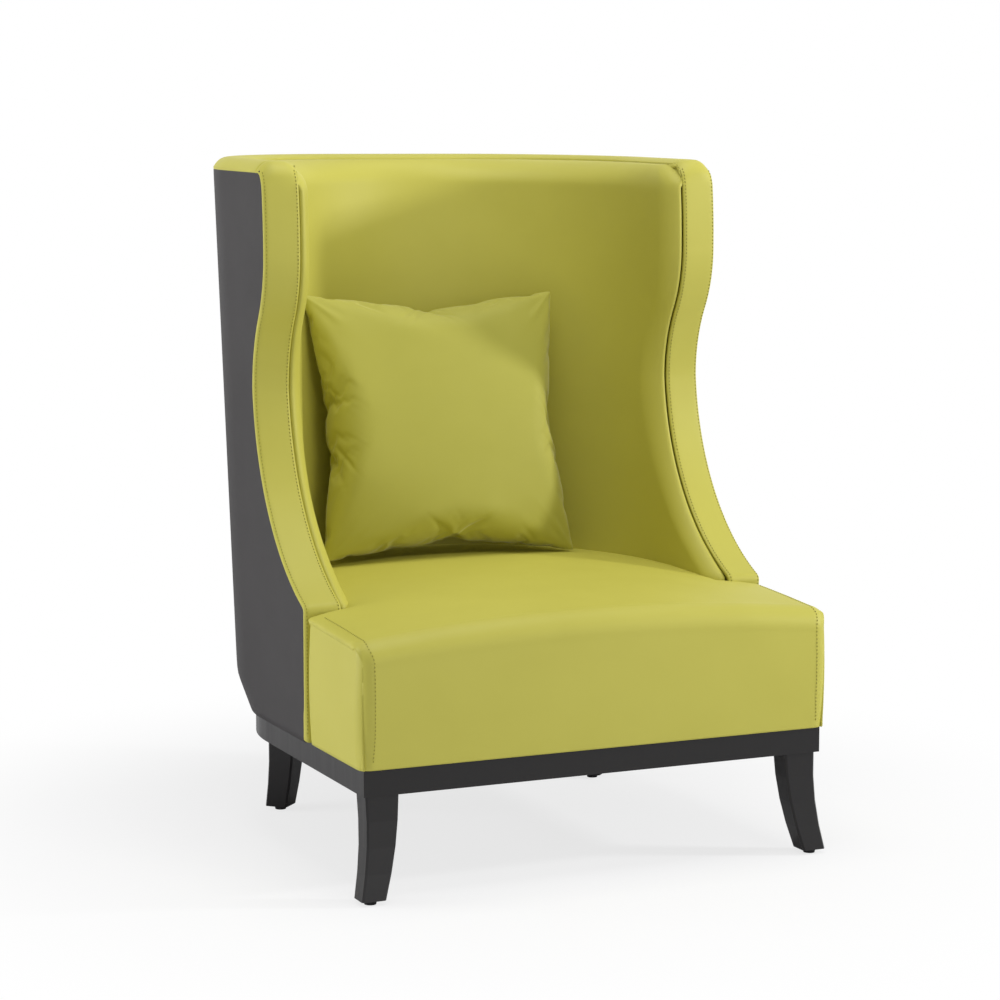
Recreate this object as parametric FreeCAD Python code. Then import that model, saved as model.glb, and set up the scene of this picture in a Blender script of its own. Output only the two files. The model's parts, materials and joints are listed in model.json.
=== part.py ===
import FreeCAD, Part
import math
import os

os.makedirs("parts", exist_ok=True)
V = FreeCAD.Vector

# Acoustic high back lounge chair. Millimetres, +Z up, the sitter faces -Y.
# The origin is on the floor, under the middle of the chair's outline.

# Overall size
chair_width = 840.0
chair_depth = 944.0
chair_height = 1161.0

# Heights above the floor
leg_top_z = 172.0
plinth_height = 43.0
seat_frame_height = 100.0
glide_show = 7.6

# Shell: plan of the wall and how far its back leans and tucks under
corner_radius = 316.0
back_lean = 0.11
tuck_depth = 170.0
tuck_lean = 1.4
tuck_round_lean = 0.42
tuck_round_depth = 118.0
cover_thickness = 2.0
wadding_thickness = 6.0
board_thickness = 15.0

# Lining: a round hollow that leans back with the wall
hollow_half_width = 330.0
hollow_depth = 344.0
hollow_arcs = 3
hollow_lean = 0.136
hollow_back_at_top = 92.0

# Wing edge: arcs of the S-shaped front of the wall, as distance behind the seat front and height
wing_edge = (
    ((250.0, 441.0), (398.0, 560.0), (479.0, 768.0)),
    ((479.0, 768.0), (470.0, 835.0), (446.0, 890.0)),
    ((446.0, 890.0), (424.0, 942.0), (417.0, 1000.0)),
    ((417.0, 1000.0), (418.5, 1060.0), (424.0, 1120.0)),
)
wing_foot_depth = 241.0
wing_foot_z = 424.0
top_fall = 9.0
border_width = 62.0
border_thickness = 12.0
border_edge = 4.0
wing_rail_depth = 18.0
wing_rail_width = 25.0

# Seat
seat_inset = 1.7
seat_ear_depth = 222.0
seat_belly = 6.4
seat_front_z = 440.0
seat_crown_z = 456.0
seat_rear_z = 444.0
seat_side_fall = 28.0
seat_roll = 44.0
seat_corner_radius = 26.0
seat_ear_radius = 10.0
seat_rail_thickness = 22.0
seat_rail_setback = 24.0
cross_rail_y = 196.0
cross_rail_height = 60.0
bent_rail_lead = 40.0

# Webbing
strap_width = 50.0
strap_thickness = 2.0
strap_gap = 0.3
length_strap_x = (-225.0, -112.5, 0.0, 112.5, 225.0)
cross_strap_y = (-370.0, -290.0, -150.0, -60.0)

# Plinth
plinth_inset = 12.0
plinth_setback = 13.6
plinth_back_y = 300.6
plinth_rail = 24.0
corner_block_height = 28.0
corner_block_reach = 62.0

# Legs: top and foot sections, and how the sabre curve flares
front_leg_top = (56.0, 44.0)
front_leg_foot = (41.0, 38.0)
front_leg_flare = 13.5
front_leg_kick = 17.0
rear_leg_top = (51.0, 55.0)
rear_leg_foot = (41.0, 42.0)
rear_leg_flare = 8.0
leg_waist = 3.0
leg_edge = 3.0
leg_inset = 5.5

# Leg bolts, glides and screws
leg_bolt_radius = 4.0
leg_bolt_length = 72.0
leg_bolt_in_leg = 35.0
bolt_clearance = 0.3
nut_room = 13.0
nut_across_flats = 13.0
nut_thickness = 6.5
glide_radius = 11.0
glide_foot_radius = 9.5
glide_stem_radius = 4.0
glide_stem_length = 26.0
glide_travel = 10.0
insert_radius = 6.0
insert_length = 24.0
thread_clearance = 0.3
screw_radius = 2.5
screw_head_radius = 4.5
screw_head_thickness = 3.0
screw_length = 60.0
screw_recess = 10.0
shell_screw_radius = 3.0
shell_screw_head_radius = 6.0
shell_screw_head = 3.0
shell_screw_length = 33.0
shell_screw_y = (-170.0, -60.0)
screw_tip_gap = 1.0
dust_cover_thickness = 1.0

# Pillow
pillow_size = 478.0
pillow_thickness = 142.0
pillow_edge = 3.0
pillow_draw = 13.0
pillow_cover_thickness = 1.2
pillow_x = -17.0
pillow_y = 60.0
pillow_yaw = -1.6
pillow_tilt = 14.0
pillow_roll = 0.4

# Clearances
fit_gap = 0.1
insert_gap = 0.7
soft_gap = 0.3

# Derived places
half_width = chair_width / 2
front_y = -chair_depth / 2
back_y = chair_depth / 2
plinth_top_z = leg_top_z + plinth_height
seat_deck_z = plinth_top_z + seat_frame_height
board_inset = cover_thickness + wadding_thickness
board_inner = board_inset + board_thickness
rail_half_width = half_width - board_inner - soft_gap
plinth_half_width = half_width - plinth_inset
plinth_radius = corner_radius - plinth_inset
plinth_front_y = front_y + plinth_setback
inside_x = half_width - border_width
wing_back_z = wing_edge[-1][2][1]
ahead_y = front_y - 60
behind_y = back_y + 80
webbing_top_z = seat_deck_z + 2 * strap_thickness + strap_gap
rail_front_y = front_y + seat_rail_setback
wall_height = chair_height - plinth_top_z
hollow_back_y = back_y - hollow_back_at_top - hollow_lean * wall_height
back_slopes = (
    (back_lean, back_y - back_lean * wall_height),
    (tuck_round_lean, back_y - tuck_round_depth),
    (tuck_lean, back_y - tuck_depth),
)


def export(name, shape):
    """Write one named piece."""
    shape.exportStep("parts/%s.step" % name)


def box(x0, x1, y0, y1, z0, z1):
    return Part.makeBox(x1 - x0, y1 - y0, z1 - z0, V(x0, y0, z0))


def solids(shape):
    """The separate solids of a boolean's result, as one solid or one group."""
    found = [s for s in shape.Solids if s.Volume > 1.0]
    return found[0] if len(found) == 1 else Part.makeCompound(found)


def cylinder(radius, length, base, axis=V(0, 0, 1)):
    return Part.makeCylinder(radius, length, base, axis)


# Shell surfaces

def u_outline(half, radius, rear, ahead, z):
    """Plan outline: straight sides, two round rear corners, a straight back and an open front."""
    turn = radius * math.sqrt(0.5)
    side = rear - radius
    middle = half - radius
    left = Part.LineSegment(V(-half, ahead, z), V(-half, side, z))
    left_corner = Part.Arc(V(-half, side, z), V(-middle - turn, side + turn, z), V(-middle, rear, z))
    back = Part.LineSegment(V(-middle, rear, z), V(middle, rear, z))
    right_corner = Part.Arc(V(middle, rear, z), V(middle + turn, side + turn, z), V(half, side, z))
    right = Part.LineSegment(V(half, side, z), V(half, ahead, z))
    close = Part.LineSegment(V(half, ahead, z), V(-half, ahead, z))
    edges = [left, left_corner, back, right_corner, right, close]
    return Part.Wire([edge.toShape() for edge in edges])


def leaning_prism(outline, lean, height):
    """A plan outline carried upwards, moving back by lean for each millimetre of height."""
    return Part.Face(outline).extrude(V(0, lean * height, height))


def shell_solid(inset, reach):
    """Inside of the wall's outer face, moved in by inset; reach carries its open ends further out."""
    height = chair_height + 10 - plinth_top_z + 2 * reach
    base_z = plinth_top_z - reach
    body = None
    for lean, rear in back_slopes:
        rear_here = rear - inset - lean * reach
        ahead = ahead_y - reach - lean * height
        outline = u_outline(half_width - inset, corner_radius - inset, rear_here, ahead, base_z)
        slope = leaning_prism(outline, lean, height)
        body = slope if body is None else body.common(slope)
    return body


def wall_ring(outer_inset, inner_inset):
    """A layer of the wall, between two depths from its outer face."""
    return shell_solid(outer_inset, 0).cut(shell_solid(inner_inset, 20))


def hollow_solid(grow):
    """The room inside the lining, grown by grow: straight sides that run into half an ellipse."""
    half = hollow_half_width + grow
    depth = hollow_depth + grow
    base_z = plinth_top_z - 30
    height = chair_height + 40 - base_z
    centre = hollow_back_y - hollow_depth + hollow_lean * (base_z - plinth_top_z)
    ahead = ahead_y - 30 - hollow_lean * height
    points = []
    for step in range(2 * hollow_arcs + 1):
        turn = math.pi * (step / (2 * hollow_arcs) - 0.5)
        points.append(V(half * math.sin(turn), centre + depth * math.cos(turn), base_z))
    arcs = []
    for start in range(0, 2 * hollow_arcs, 2):
        arcs.append(Part.Arc(points[start], points[start + 1], points[start + 2]).toShape())
    left = Part.LineSegment(V(-half, ahead, base_z), points[0])
    right = Part.LineSegment(points[-1], V(half, ahead, base_z))
    close = Part.LineSegment(V(half, ahead, base_z), V(-half, ahead, base_z))
    outline = Part.Wire([left.toShape()] + arcs + [right.toShape(), close.toShape()])
    return leaning_prism(outline, hollow_lean, height)


def wing_face(setback, reach):
    """Side view of the wall, moved in by setback: foot, S-shaped wing edge, round corner and top."""
    x = -half_width - 10
    ahead = front_y + setback
    curves = []
    for arc in wing_edge:
        start, middle, end = [V(x, ahead + depth, z) for depth, z in arc]
        curves.append(Part.Arc(start, middle, end))
    first = V(x, ahead + wing_edge[0][0][0], wing_edge[0][0][1])
    foot_y = ahead + wing_foot_depth
    low = plinth_top_z - reach
    foot_turn = V(x, (foot_y + first.y) / 2 - 3, (wing_foot_z + first.z) / 2 + 3)
    foot = Part.LineSegment(V(x, foot_y, low), V(x, foot_y, wing_foot_z))
    foot_arc = Part.Arc(V(x, foot_y, wing_foot_z), foot_turn, first)
    top = end
    radius = chair_height - top_fall - setback - top.z
    corner_end = V(x, top.y + radius, top.z + radius)
    corner_mid = V(x, top.y + radius * (1 - math.sqrt(0.5)), top.z + radius * math.sqrt(0.5))
    corner = Part.Arc(top, corner_mid, corner_end)
    crest = V(x, behind_y, chair_height - setback)
    top_line = Part.LineSegment(corner_end, crest)
    rear_line = Part.LineSegment(crest, V(x, behind_y, low))
    base = Part.LineSegment(V(x, behind_y, low), V(x, foot_y, low))
    edges = [foot, foot_arc] + curves + [corner, top_line, rear_line, base]
    return Part.Face(Part.Wire([edge.toShape() for edge in edges]))


def across(face):
    """A side view carried across the whole width of the chair."""
    return face.extrude(V(2 * half_width + 20, 0, 0))


def wing_region(setback):
    """Everything behind the wing edges and under the top."""
    return across(wing_face(setback, 0))


def wing_strip(near, deep):
    """A strip that follows the wing edges and the top, between two setbacks."""
    return across(wing_face(near, 0).cut(wing_face(deep, 20)))


def split_sides(shape):
    """The left half and the right half of a piece that the open front divides."""
    left_room = box(-half_width - 20, 0, front_y - 20, back_y + 20, 0, chair_height + 50)
    return solids(shape.common(left_room)), solids(shape.cut(left_room))


below_top = box(-half_width - 20, half_width + 20, front_y, back_y + 30, 0, wing_back_z)
above_wings = box(-half_width - 20, half_width + 20, front_y, back_y + 30, wing_back_z, chair_height + 50)
soft_base_z = webbing_top_z + soft_gap
above_deck = box(-half_width - 20, half_width + 20, front_y, back_y + 30, soft_base_z, chair_height + 50)
frame_room = box(
    -rail_half_width - soft_gap, rail_half_width + soft_gap, rail_front_y - soft_gap, back_y,
    plinth_top_z - 1, soft_base_z,
)
region_border = wing_region(border_thickness)
trim_strip = wing_strip(0, border_thickness)
hollow_0 = hollow_solid(0)

top_strip = trim_strip.common(above_wings)
outer_cover = wall_ring(0, cover_thickness).common(wing_region(border_edge)).cut(top_strip)
export("outer_cover", solids(outer_cover))
border_ring = wall_ring(0, border_width)
borders = border_ring.common(trim_strip.common(below_top)).cut(outer_cover).cut(frame_room)
left_border, right_border = split_sides(borders)
export("left_wing_border", left_border)
export("right_wing_border", right_border)
export("top_band", solids(border_ring.common(top_strip)))
rail_strip = wing_strip(border_thickness, border_thickness + wing_rail_depth)
rail_ring = wall_ring(board_inner, board_inner + wing_rail_width)
wing_rails = rail_ring.common(rail_strip.common(below_top).common(above_deck))
left_wing_rail, right_wing_rail = split_sides(wing_rails)
export("left_wing_rail", left_wing_rail)
export("right_wing_rail", right_wing_rail)
top_rail = rail_ring.common(rail_strip.common(above_wings))
export("top_rail", solids(top_rail))
lining = shell_solid(board_inner, 0).common(above_deck)
lining_core = lining.common(wing_region(cover_thickness)).cut(hollow_solid(cover_thickness))
foam = lining_core.cut(border_ring.common(trim_strip)).cut(top_rail)
foam = foam.cut(left_wing_rail).cut(right_wing_rail)
export("acoustic_foam", solids(foam))
lining_full = shell_solid(border_width, 0).common(above_deck).common(wing_region(0)).cut(hollow_0)
inner_cover = lining_full.cut(lining_core)
export("inner_cover", solids(inner_cover))


# Seat

def seat_section(inset):
    """Front-to-back section of the seat's middle: bellied front, rolled front edge and crowned top."""
    front = front_y + inset
    front_z = seat_front_z - inset
    roll = seat_roll - inset
    base_front = V(0, front + seat_belly, plinth_top_z)
    belly = V(0, front, (plinth_top_z + front_z - roll) / 2 + 20)
    roll_low = V(0, front + seat_belly / 4, front_z - roll)
    roll_mid = V(0, front + seat_belly / 4 + roll * 0.27, front_z - roll * 0.25)
    roll_high = V(0, front + seat_belly / 4 + roll, front_z)
    rear = V(0, back_y, seat_rear_z - inset)
    crown = V(0, (roll_high.y + rear.y) / 2, seat_crown_z - inset)
    base_rear = V(0, back_y, plinth_top_z)
    edges = [
        Part.LineSegment(base_rear, base_front),
        Part.Arc(base_front, belly, roll_low),
        Part.Arc(roll_low, roll_mid, roll_high),
        Part.Arc(roll_high, crown, rear),
        Part.LineSegment(rear, base_rear),
    ]
    return Part.Face(Part.Wire([edge.toShape() for edge in edges]))


def seat_block(inset):
    """The seat's section swung over a wide arc, which crowns it from side to side."""
    swing_radius = seat_half_width ** 2 / (2 * seat_side_fall) + seat_side_fall / 2
    pivot = V(0, 0, seat_crown_z - swing_radius)
    swing = math.degrees(math.asin(0.6 * chair_width / swing_radius))
    section = seat_section(inset)
    section.rotate(pivot, V(0, 1, 0), -swing)
    return section.revolve(pivot, V(0, 1, 0), 2 * swing)


def seat_solid(inset):
    """The upholstered T-shaped block, cut to its plan: ears in front, and a neck inside the lining."""
    half = seat_half_width - inset
    neck = hollow_solid(-soft_gap - inset)
    ear_y = front_y + seat_ear_depth - inset
    behind = box(-half_width, half_width, ear_y, back_y + 60, plinth_top_z - 5, chair_height)
    plan = box(-half, half, front_y + inset, back_y - 5, plinth_top_z, chair_height)
    corners = [edge for edge in plan.Edges if edge.Length > chair_height / 2 and edge.CenterOfMass.y < 0]
    plan = plan.makeFillet(seat_corner_radius - inset, corners)
    return seat_block(inset).common(plan).cut(behind.cut(neck))


seat_half_width = half_width - seat_inset
seat_full = seat_solid(0)
seat_core = seat_solid(cover_thickness)
seat_cover = seat_full.cut(seat_core).cut(frame_room)
corner_x = seat_half_width - seat_corner_radius
ear_end_y = front_y + seat_ear_depth
under_top = seat_block(cover_thickness)
left_panel_room = box(-half_width, -corner_x, front_y, ear_end_y + 1, plinth_top_z - 1, seat_crown_z)
right_panel_room = box(corner_x, half_width, front_y, ear_end_y + 1, plinth_top_z - 1, seat_crown_z)
left_panel = seat_cover.common(left_panel_room).common(under_top)
right_panel = seat_cover.common(right_panel_room).common(under_top)
export("left_seat_side_panel", solids(left_panel))
export("right_seat_side_panel", solids(right_panel))
export("seat_cover", solids(seat_cover.cut(left_panel).cut(right_panel)))
export("seat_foam", solids(seat_core.cut(frame_room)))

# Seat frame: straight rails at the front and sides, and a bent rail round the back
rail_radius = corner_radius - board_inner - soft_gap
rail_back_y = back_y - tuck_depth - board_inner - soft_gap
side_end_y = rail_back_y - rail_radius - bent_rail_lead
rail_inner = rail_half_width - seat_rail_thickness


def bent_rail(half, radius, rear, side_y, thickness, z, height):
    """A rail bent round the back of the chair, from one side to the other."""
    outer = Part.Face(u_outline(half, radius, rear, side_y, z)).extrude(V(0, 0, height))
    inner = Part.Face(
        u_outline(half - thickness, radius - thickness, rear - thickness, side_y - 5, z)
    ).extrude(V(0, 0, height))
    return outer.cut(inner)


# Screws that hold the moulded wall to the seat frame, driven outwards from inside the frame
shell_screw_z = plinth_top_z + seat_frame_height / 2
shell_screws = []
shell_screw_holes = []
for side in (-1, 1):
    for y in shell_screw_y:
        outward = V(side, 0, 0)
        seat_place = V(side * rail_inner, y, shell_screw_z)
        head = cylinder(shell_screw_head_radius, shell_screw_head, seat_place, outward * -1)
        shell_screws.append(head.fuse(cylinder(shell_screw_radius, shell_screw_length, seat_place, outward)))
        hole_length = shell_screw_length + screw_tip_gap
        shell_screw_holes.append(cylinder(shell_screw_radius + fit_gap, hole_length, seat_place, outward))
shell_screw_room = Part.makeCompound(shell_screw_holes)
export("shell_screws", Part.makeCompound(shell_screws))

outer_wadding = wall_ring(cover_thickness, board_inset).common(region_border)
export("outer_wadding", solids(outer_wadding))
moulded_board = wall_ring(board_inset, board_inner).common(region_border).cut(shell_screw_room)
export("moulded_board", solids(moulded_board))

screw_places = [(-1, -300.0), (-1, -120.0), (1, -300.0), (1, -120.0)]
plinth_side_x = plinth_half_width - plinth_rail
screw_x = (plinth_side_x + rail_half_width) / 2
screw_base_z = leg_top_z + screw_recess
screw_list = []
screw_holes = []
for side, y in screw_places:
    base = V(side * screw_x, y, screw_base_z)
    screw_list.append(
        cylinder(screw_radius, screw_length, base).fuse(cylinder(screw_head_radius, screw_head_thickness, base))
    )
    screw_holes.append(cylinder(screw_radius + fit_gap, screw_length + 2, base))
    screw_holes.append(
        cylinder(screw_head_radius + fit_gap, screw_recess + screw_head_thickness, V(base.x, base.y, leg_top_z))
    )
screw_room = Part.makeCompound(screw_holes)
export("frame_screws", Part.makeCompound(screw_list))

front_rail_back_y = rail_front_y + seat_rail_thickness
export(
    "seat_front_rail",
    box(-rail_half_width, rail_half_width, rail_front_y, front_rail_back_y, plinth_top_z, seat_deck_z),
)
left_rail = box(-rail_half_width, -rail_inner, front_rail_back_y, side_end_y, plinth_top_z, seat_deck_z)
right_rail = box(rail_inner, rail_half_width, front_rail_back_y, side_end_y, plinth_top_z, seat_deck_z)
export("seat_left_rail", solids(left_rail.cut(shell_screw_room).cut(screw_room)))
export("seat_right_rail", solids(right_rail.cut(shell_screw_room).cut(screw_room)))
export(
    "seat_back_rail",
    bent_rail(rail_half_width, rail_radius, rail_back_y, side_end_y, seat_rail_thickness, plinth_top_z, seat_frame_height),
)
inner_outline = u_outline(
    rail_inner - fit_gap, rail_radius - seat_rail_thickness - fit_gap, rail_back_y - seat_rail_thickness - fit_gap,
    side_end_y - 5, plinth_top_z,
)
cross_front_y = cross_rail_y - seat_rail_thickness / 2
cross_rail = Part.Face(inner_outline).extrude(V(0, 0, seat_frame_height)).common(
    box(-half_width, half_width, cross_front_y, cross_front_y + seat_rail_thickness,
        seat_deck_z - cross_rail_height, seat_deck_z)
)
export("seat_cross_rail", solids(cross_rail))

# Webbing: straps from front to back, with cross straps laid over them
straps = []
for x in length_strap_x:
    straps.append(
        box(x - strap_width / 2, x + strap_width / 2, rail_front_y + 4, cross_front_y + seat_rail_thickness - 4,
            seat_deck_z, seat_deck_z + strap_thickness)
    )
cross_z = seat_deck_z + strap_thickness + strap_gap
for y in cross_strap_y:
    straps.append(
        box(-rail_half_width + 4, rail_half_width - 4, y - strap_width / 2, y + strap_width / 2,
            cross_z, cross_z + strap_thickness)
    )
export("seat_webbing", Part.makeCompound(straps))

# Plinth: a black rail frame with round rear corners, and a block in each corner
plinth_side_y = plinth_back_y - plinth_radius - bent_rail_lead
plinth_front_inner = plinth_front_y + plinth_rail
export(
    "plinth_front_rail",
    box(-plinth_half_width, plinth_half_width, plinth_front_y, plinth_front_inner, leg_top_z, plinth_top_z),
)
left_plinth = box(-plinth_half_width, -plinth_side_x, plinth_front_inner, plinth_side_y, leg_top_z, plinth_top_z)
right_plinth = box(plinth_side_x, plinth_half_width, plinth_front_inner, plinth_side_y, leg_top_z, plinth_top_z)
export("plinth_left_rail", solids(left_plinth.cut(screw_room)))
export("plinth_right_rail", solids(right_plinth.cut(screw_room)))
export(
    "plinth_back_rail",
    bent_rail(plinth_half_width, plinth_radius, plinth_back_y, plinth_side_y, plinth_rail, leg_top_z, plinth_height),
)
plinth_inside = Part.Face(
    u_outline(plinth_side_x - soft_gap, plinth_radius - plinth_rail - soft_gap,
              plinth_back_y - plinth_rail - soft_gap, plinth_front_inner + soft_gap, leg_top_z)
).extrude(V(0, 0, plinth_height))

# Legs


def leg_section(z, inner, outer, front, rear):
    """Rectangle with its four edges taken off, at height z, in the leg's own two directions."""
    r = leg_edge
    corners = [
        V(inner + r, front, z), V(outer - r, front, z), V(outer, front + r, z), V(outer, rear - r, z),
        V(outer - r, rear, z), V(inner + r, rear, z), V(inner, rear - r, z), V(inner, front + r, z),
    ]
    return Part.makePolygon(corners + corners[:1])


def sabre_leg(top, foot, outer, front, flare, kick):
    """A leg that narrows and sweeps out: its outer face flares by the square of the way down."""
    wires = []
    for step in range(5):
        down = step / 4
        z = leg_top_z - down * (leg_top_z - glide_show)
        width = top[0] + (foot[0] - top[0]) * down
        depth = top[1] + (foot[1] - top[1]) * down
        edge = outer + flare * down ** 2 - leg_waist * math.sin(math.pi * down)
        ahead = front - kick * down ** 1.5
        wires.append(leg_section(z, edge - width, edge, ahead, ahead + depth))
    return Part.makeLoft(wires, True, True)


def leg_fittings(x, y, foot_x, foot_y):
    """Bolt, nut, insert, glide and the holes for them, for one leg."""
    bolt_base = V(x, y, leg_top_z - leg_bolt_in_leg)
    bolt = cylinder(leg_bolt_radius, leg_bolt_length, bolt_base)
    block_top = leg_top_z + corner_block_height
    nut_z = block_top
    points = []
    for corner in range(6):
        angle = math.radians(60 * corner)
        reach = nut_across_flats / math.sqrt(3)
        points.append(V(x + reach * math.cos(angle), y + reach * math.sin(angle), nut_z))
    nut = Part.Face(Part.makePolygon(points + points[:1])).extrude(V(0, 0, nut_thickness))
    nut = nut.cut(cylinder(leg_bolt_radius + fit_gap, nut_thickness, V(x, y, nut_z)))
    insert_z = glide_show
    insert = cylinder(insert_radius, insert_length, V(foot_x, foot_y, insert_z))
    bore = glide_stem_radius + thread_clearance
    insert = insert.cut(cylinder(bore, insert_length, V(foot_x, foot_y, insert_z)))
    stem = cylinder(glide_stem_radius, glide_stem_length + glide_show / 2, V(foot_x, foot_y, glide_show / 2))
    pad_height = glide_show - soft_gap
    pad = Part.makeCone(glide_foot_radius, glide_radius, pad_height, V(foot_x, foot_y, 0))
    glide = pad.fuse(stem)
    holes = [
        cylinder(leg_bolt_radius + fit_gap, leg_bolt_in_leg + 2, V(x, y, leg_top_z - leg_bolt_in_leg - 2)),
        cylinder(insert_radius + fit_gap, insert_length, V(foot_x, foot_y, insert_z)),
        cylinder(bore, glide_stem_length + 4, V(foot_x, foot_y, insert_z)),
    ]
    return bolt, nut, insert, glide, Part.makeCompound(holes)


bolts = []
nuts = []
inserts = []
front_blocks = []
rear_blocks = []
block_clear = leg_bolt_radius + bolt_clearance
front_outer = plinth_half_width - leg_inset
front_face = plinth_front_y + leg_inset
for side, name in ((-1, "front_left"), (1, "front_right")):
    leg = sabre_leg(front_leg_top, front_leg_foot, front_outer, front_face, front_leg_flare, front_leg_kick)
    bolt_x = plinth_side_x - nut_room
    bolt_y = plinth_front_inner + nut_room
    foot_x = front_outer + front_leg_flare - front_leg_foot[0] / 2
    foot_y = front_face - front_leg_kick + front_leg_foot[1] / 2
    if side < 0:
        leg = leg.mirror(V(0, 0, 0), V(1, 0, 0))
    bolt, nut, insert, glide, holes = leg_fittings(side * bolt_x, bolt_y, side * foot_x, foot_y)
    export(name + "_leg", solids(leg.cut(holes)))
    export(name + "_glide", glide)
    bolts.append(bolt)
    nuts.append(nut)
    inserts.append(insert)
    block = box(plinth_side_x - corner_block_reach, plinth_side_x, plinth_front_inner,
                plinth_front_inner + corner_block_reach, leg_top_z, leg_top_z + corner_block_height)
    if side < 0:
        block = block.mirror(V(0, 0, 0), V(1, 0, 0))
    block = block.common(plinth_inside)
    front_blocks.append(solids(block.cut(cylinder(block_clear, plinth_height, V(side * bolt_x, bolt_y, leg_top_z)))))
rear_centre = V(plinth_half_width - plinth_radius, plinth_back_y - plinth_radius, 0)
rear_outer = plinth_radius - soft_gap
diagonal = math.sqrt(0.5)
for side, name in ((-1, "rear_left"), (1, "rear_right")):
    leg = sabre_leg(rear_leg_top, rear_leg_foot, rear_outer, -rear_leg_top[1] / 2, rear_leg_flare,
                    (rear_leg_foot[1] - rear_leg_top[1]) / 2)
    leg.rotate(V(0, 0, 0), V(0, 0, 1), 45)
    leg.translate(rear_centre)
    bolt_reach = plinth_radius - plinth_rail - nut_room
    foot_reach = rear_outer + rear_leg_flare - rear_leg_foot[0] / 2
    if side < 0:
        leg = leg.mirror(V(0, 0, 0), V(1, 0, 0))
    bolt_x = rear_centre.x + bolt_reach * diagonal
    bolt_y = rear_centre.y + bolt_reach * diagonal
    foot_x = rear_centre.x + foot_reach * diagonal
    foot_y = rear_centre.y + foot_reach * diagonal
    bolt, nut, insert, glide, holes = leg_fittings(side * bolt_x, bolt_y, side * foot_x, foot_y)
    export(name + "_leg", solids(leg.cut(holes)))
    export(name + "_glide", glide)
    bolts.append(bolt)
    nuts.append(nut)
    inserts.append(insert)
    block_outer = plinth_radius - plinth_rail + 5
    block = box(block_outer - corner_block_reach, block_outer, -corner_block_reach, corner_block_reach,
                leg_top_z, leg_top_z + corner_block_height)
    block.rotate(V(0, 0, 0), V(0, 0, 1), 45)
    block.translate(rear_centre)
    if side < 0:
        block = block.mirror(V(0, 0, 0), V(1, 0, 0))
    block = block.common(plinth_inside)
    rear_blocks.append(solids(block.cut(cylinder(block_clear, plinth_height, V(side * bolt_x, bolt_y, leg_top_z)))))
export("leg_bolts", Part.makeCompound(bolts))
export("leg_nuts", Part.makeCompound(nuts))
export("glide_inserts", Part.makeCompound(inserts))
export("front_corner_blocks", Part.makeCompound(front_blocks))
export("rear_corner_blocks", Part.makeCompound(rear_blocks))
dust_z = plinth_top_z - dust_cover_thickness - soft_gap
export("dust_cover", solids(plinth_inside.common(
    box(-half_width, half_width, front_y, back_y, dust_z, dust_z + dust_cover_thickness))))

# Pillow


def pillow_section(v, inset):
    """One crosswise section: two flat arcs, bowed towards the middle of the pillow's edge."""
    half = pillow_size / 2 - inset
    width = half - pillow_draw * (1 - v * v)
    height = half * v
    bow = -pillow_draw * v ** 3
    thick = (pillow_thickness / 2 - pillow_edge / 2 - inset) * (1 - abs(v) ** 2.4) ** 0.75
    edge = pillow_edge / 2 - inset / 4
    front_left = V(-width, -edge, height)
    front_right = V(width, -edge, height)
    back_left = V(-width, edge, height)
    back_right = V(width, edge, height)
    front = Part.Arc(front_left, V(0, -edge - thick - 0.4, height + bow), front_right).toShape()
    right = Part.LineSegment(front_right, back_right).toShape()
    back = Part.Arc(back_right, V(0, edge + thick + 0.4, height + bow), back_left).toShape()
    left = Part.LineSegment(back_left, front_left).toShape()
    return front, right, back, left


def pillow_solid(inset, stations):
    """A square pillow with a knife edge, drawn-in sides and pointed corners, centred on the origin."""
    sections = [pillow_section(v, inset) for v in stations]
    skin = Part.makeLoft([Part.Wire(list(edges)) for edges in sections], False, True)
    faces = list(skin.Faces)
    for edges in (sections[0], sections[-1]):
        faces.append(Part.makeRuledSurface(edges[0], edges[2]))
    shell = Part.makeShell(faces)
    shell.sewShape()
    solid = Part.Solid(shell)
    if solid.Volume < 0:
        solid.reverse()
    return solid


def settle(piece, seat, back, gap, rounds):
    """Lower a piece onto the seat and push it back against the lining, until it lies gap from both."""
    for _ in range(rounds):
        piece.translate(V(0, 0, gap - piece.distToShape(seat)[0]))
        piece.translate(V(0, piece.distToShape(back)[0] - gap, 0))


pillow_stations = (-1, -0.9, -0.7, -0.4, 0, 0.4, 0.7, 0.9, 1)
insert_stations = (-0.9, -0.4, 0, 0.4, 0.9)
pillow_full = pillow_solid(0, pillow_stations)
pillow_shell = pillow_full.cut(pillow_solid(pillow_cover_thickness, pillow_stations))
pillow_fill = pillow_solid(pillow_cover_thickness + insert_gap, insert_stations)
group = Part.makeCompound([pillow_shell, pillow_fill])
group.rotate(V(0, 0, 0), V(0, 1, 0), pillow_roll)
group.rotate(V(0, 0, 0), V(1, 0, 0), -pillow_tilt)
group.rotate(V(0, 0, 0), V(0, 0, 1), pillow_yaw)
group.translate(V(pillow_x, pillow_y, seat_crown_z + pillow_size / 2 + 20))
settle(group, seat_full, lining_full, soft_gap, 6)
export("pillow_cover", group.Solids[0])
export("pillow_insert", group.Solids[1])
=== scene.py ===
import json
import math

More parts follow.
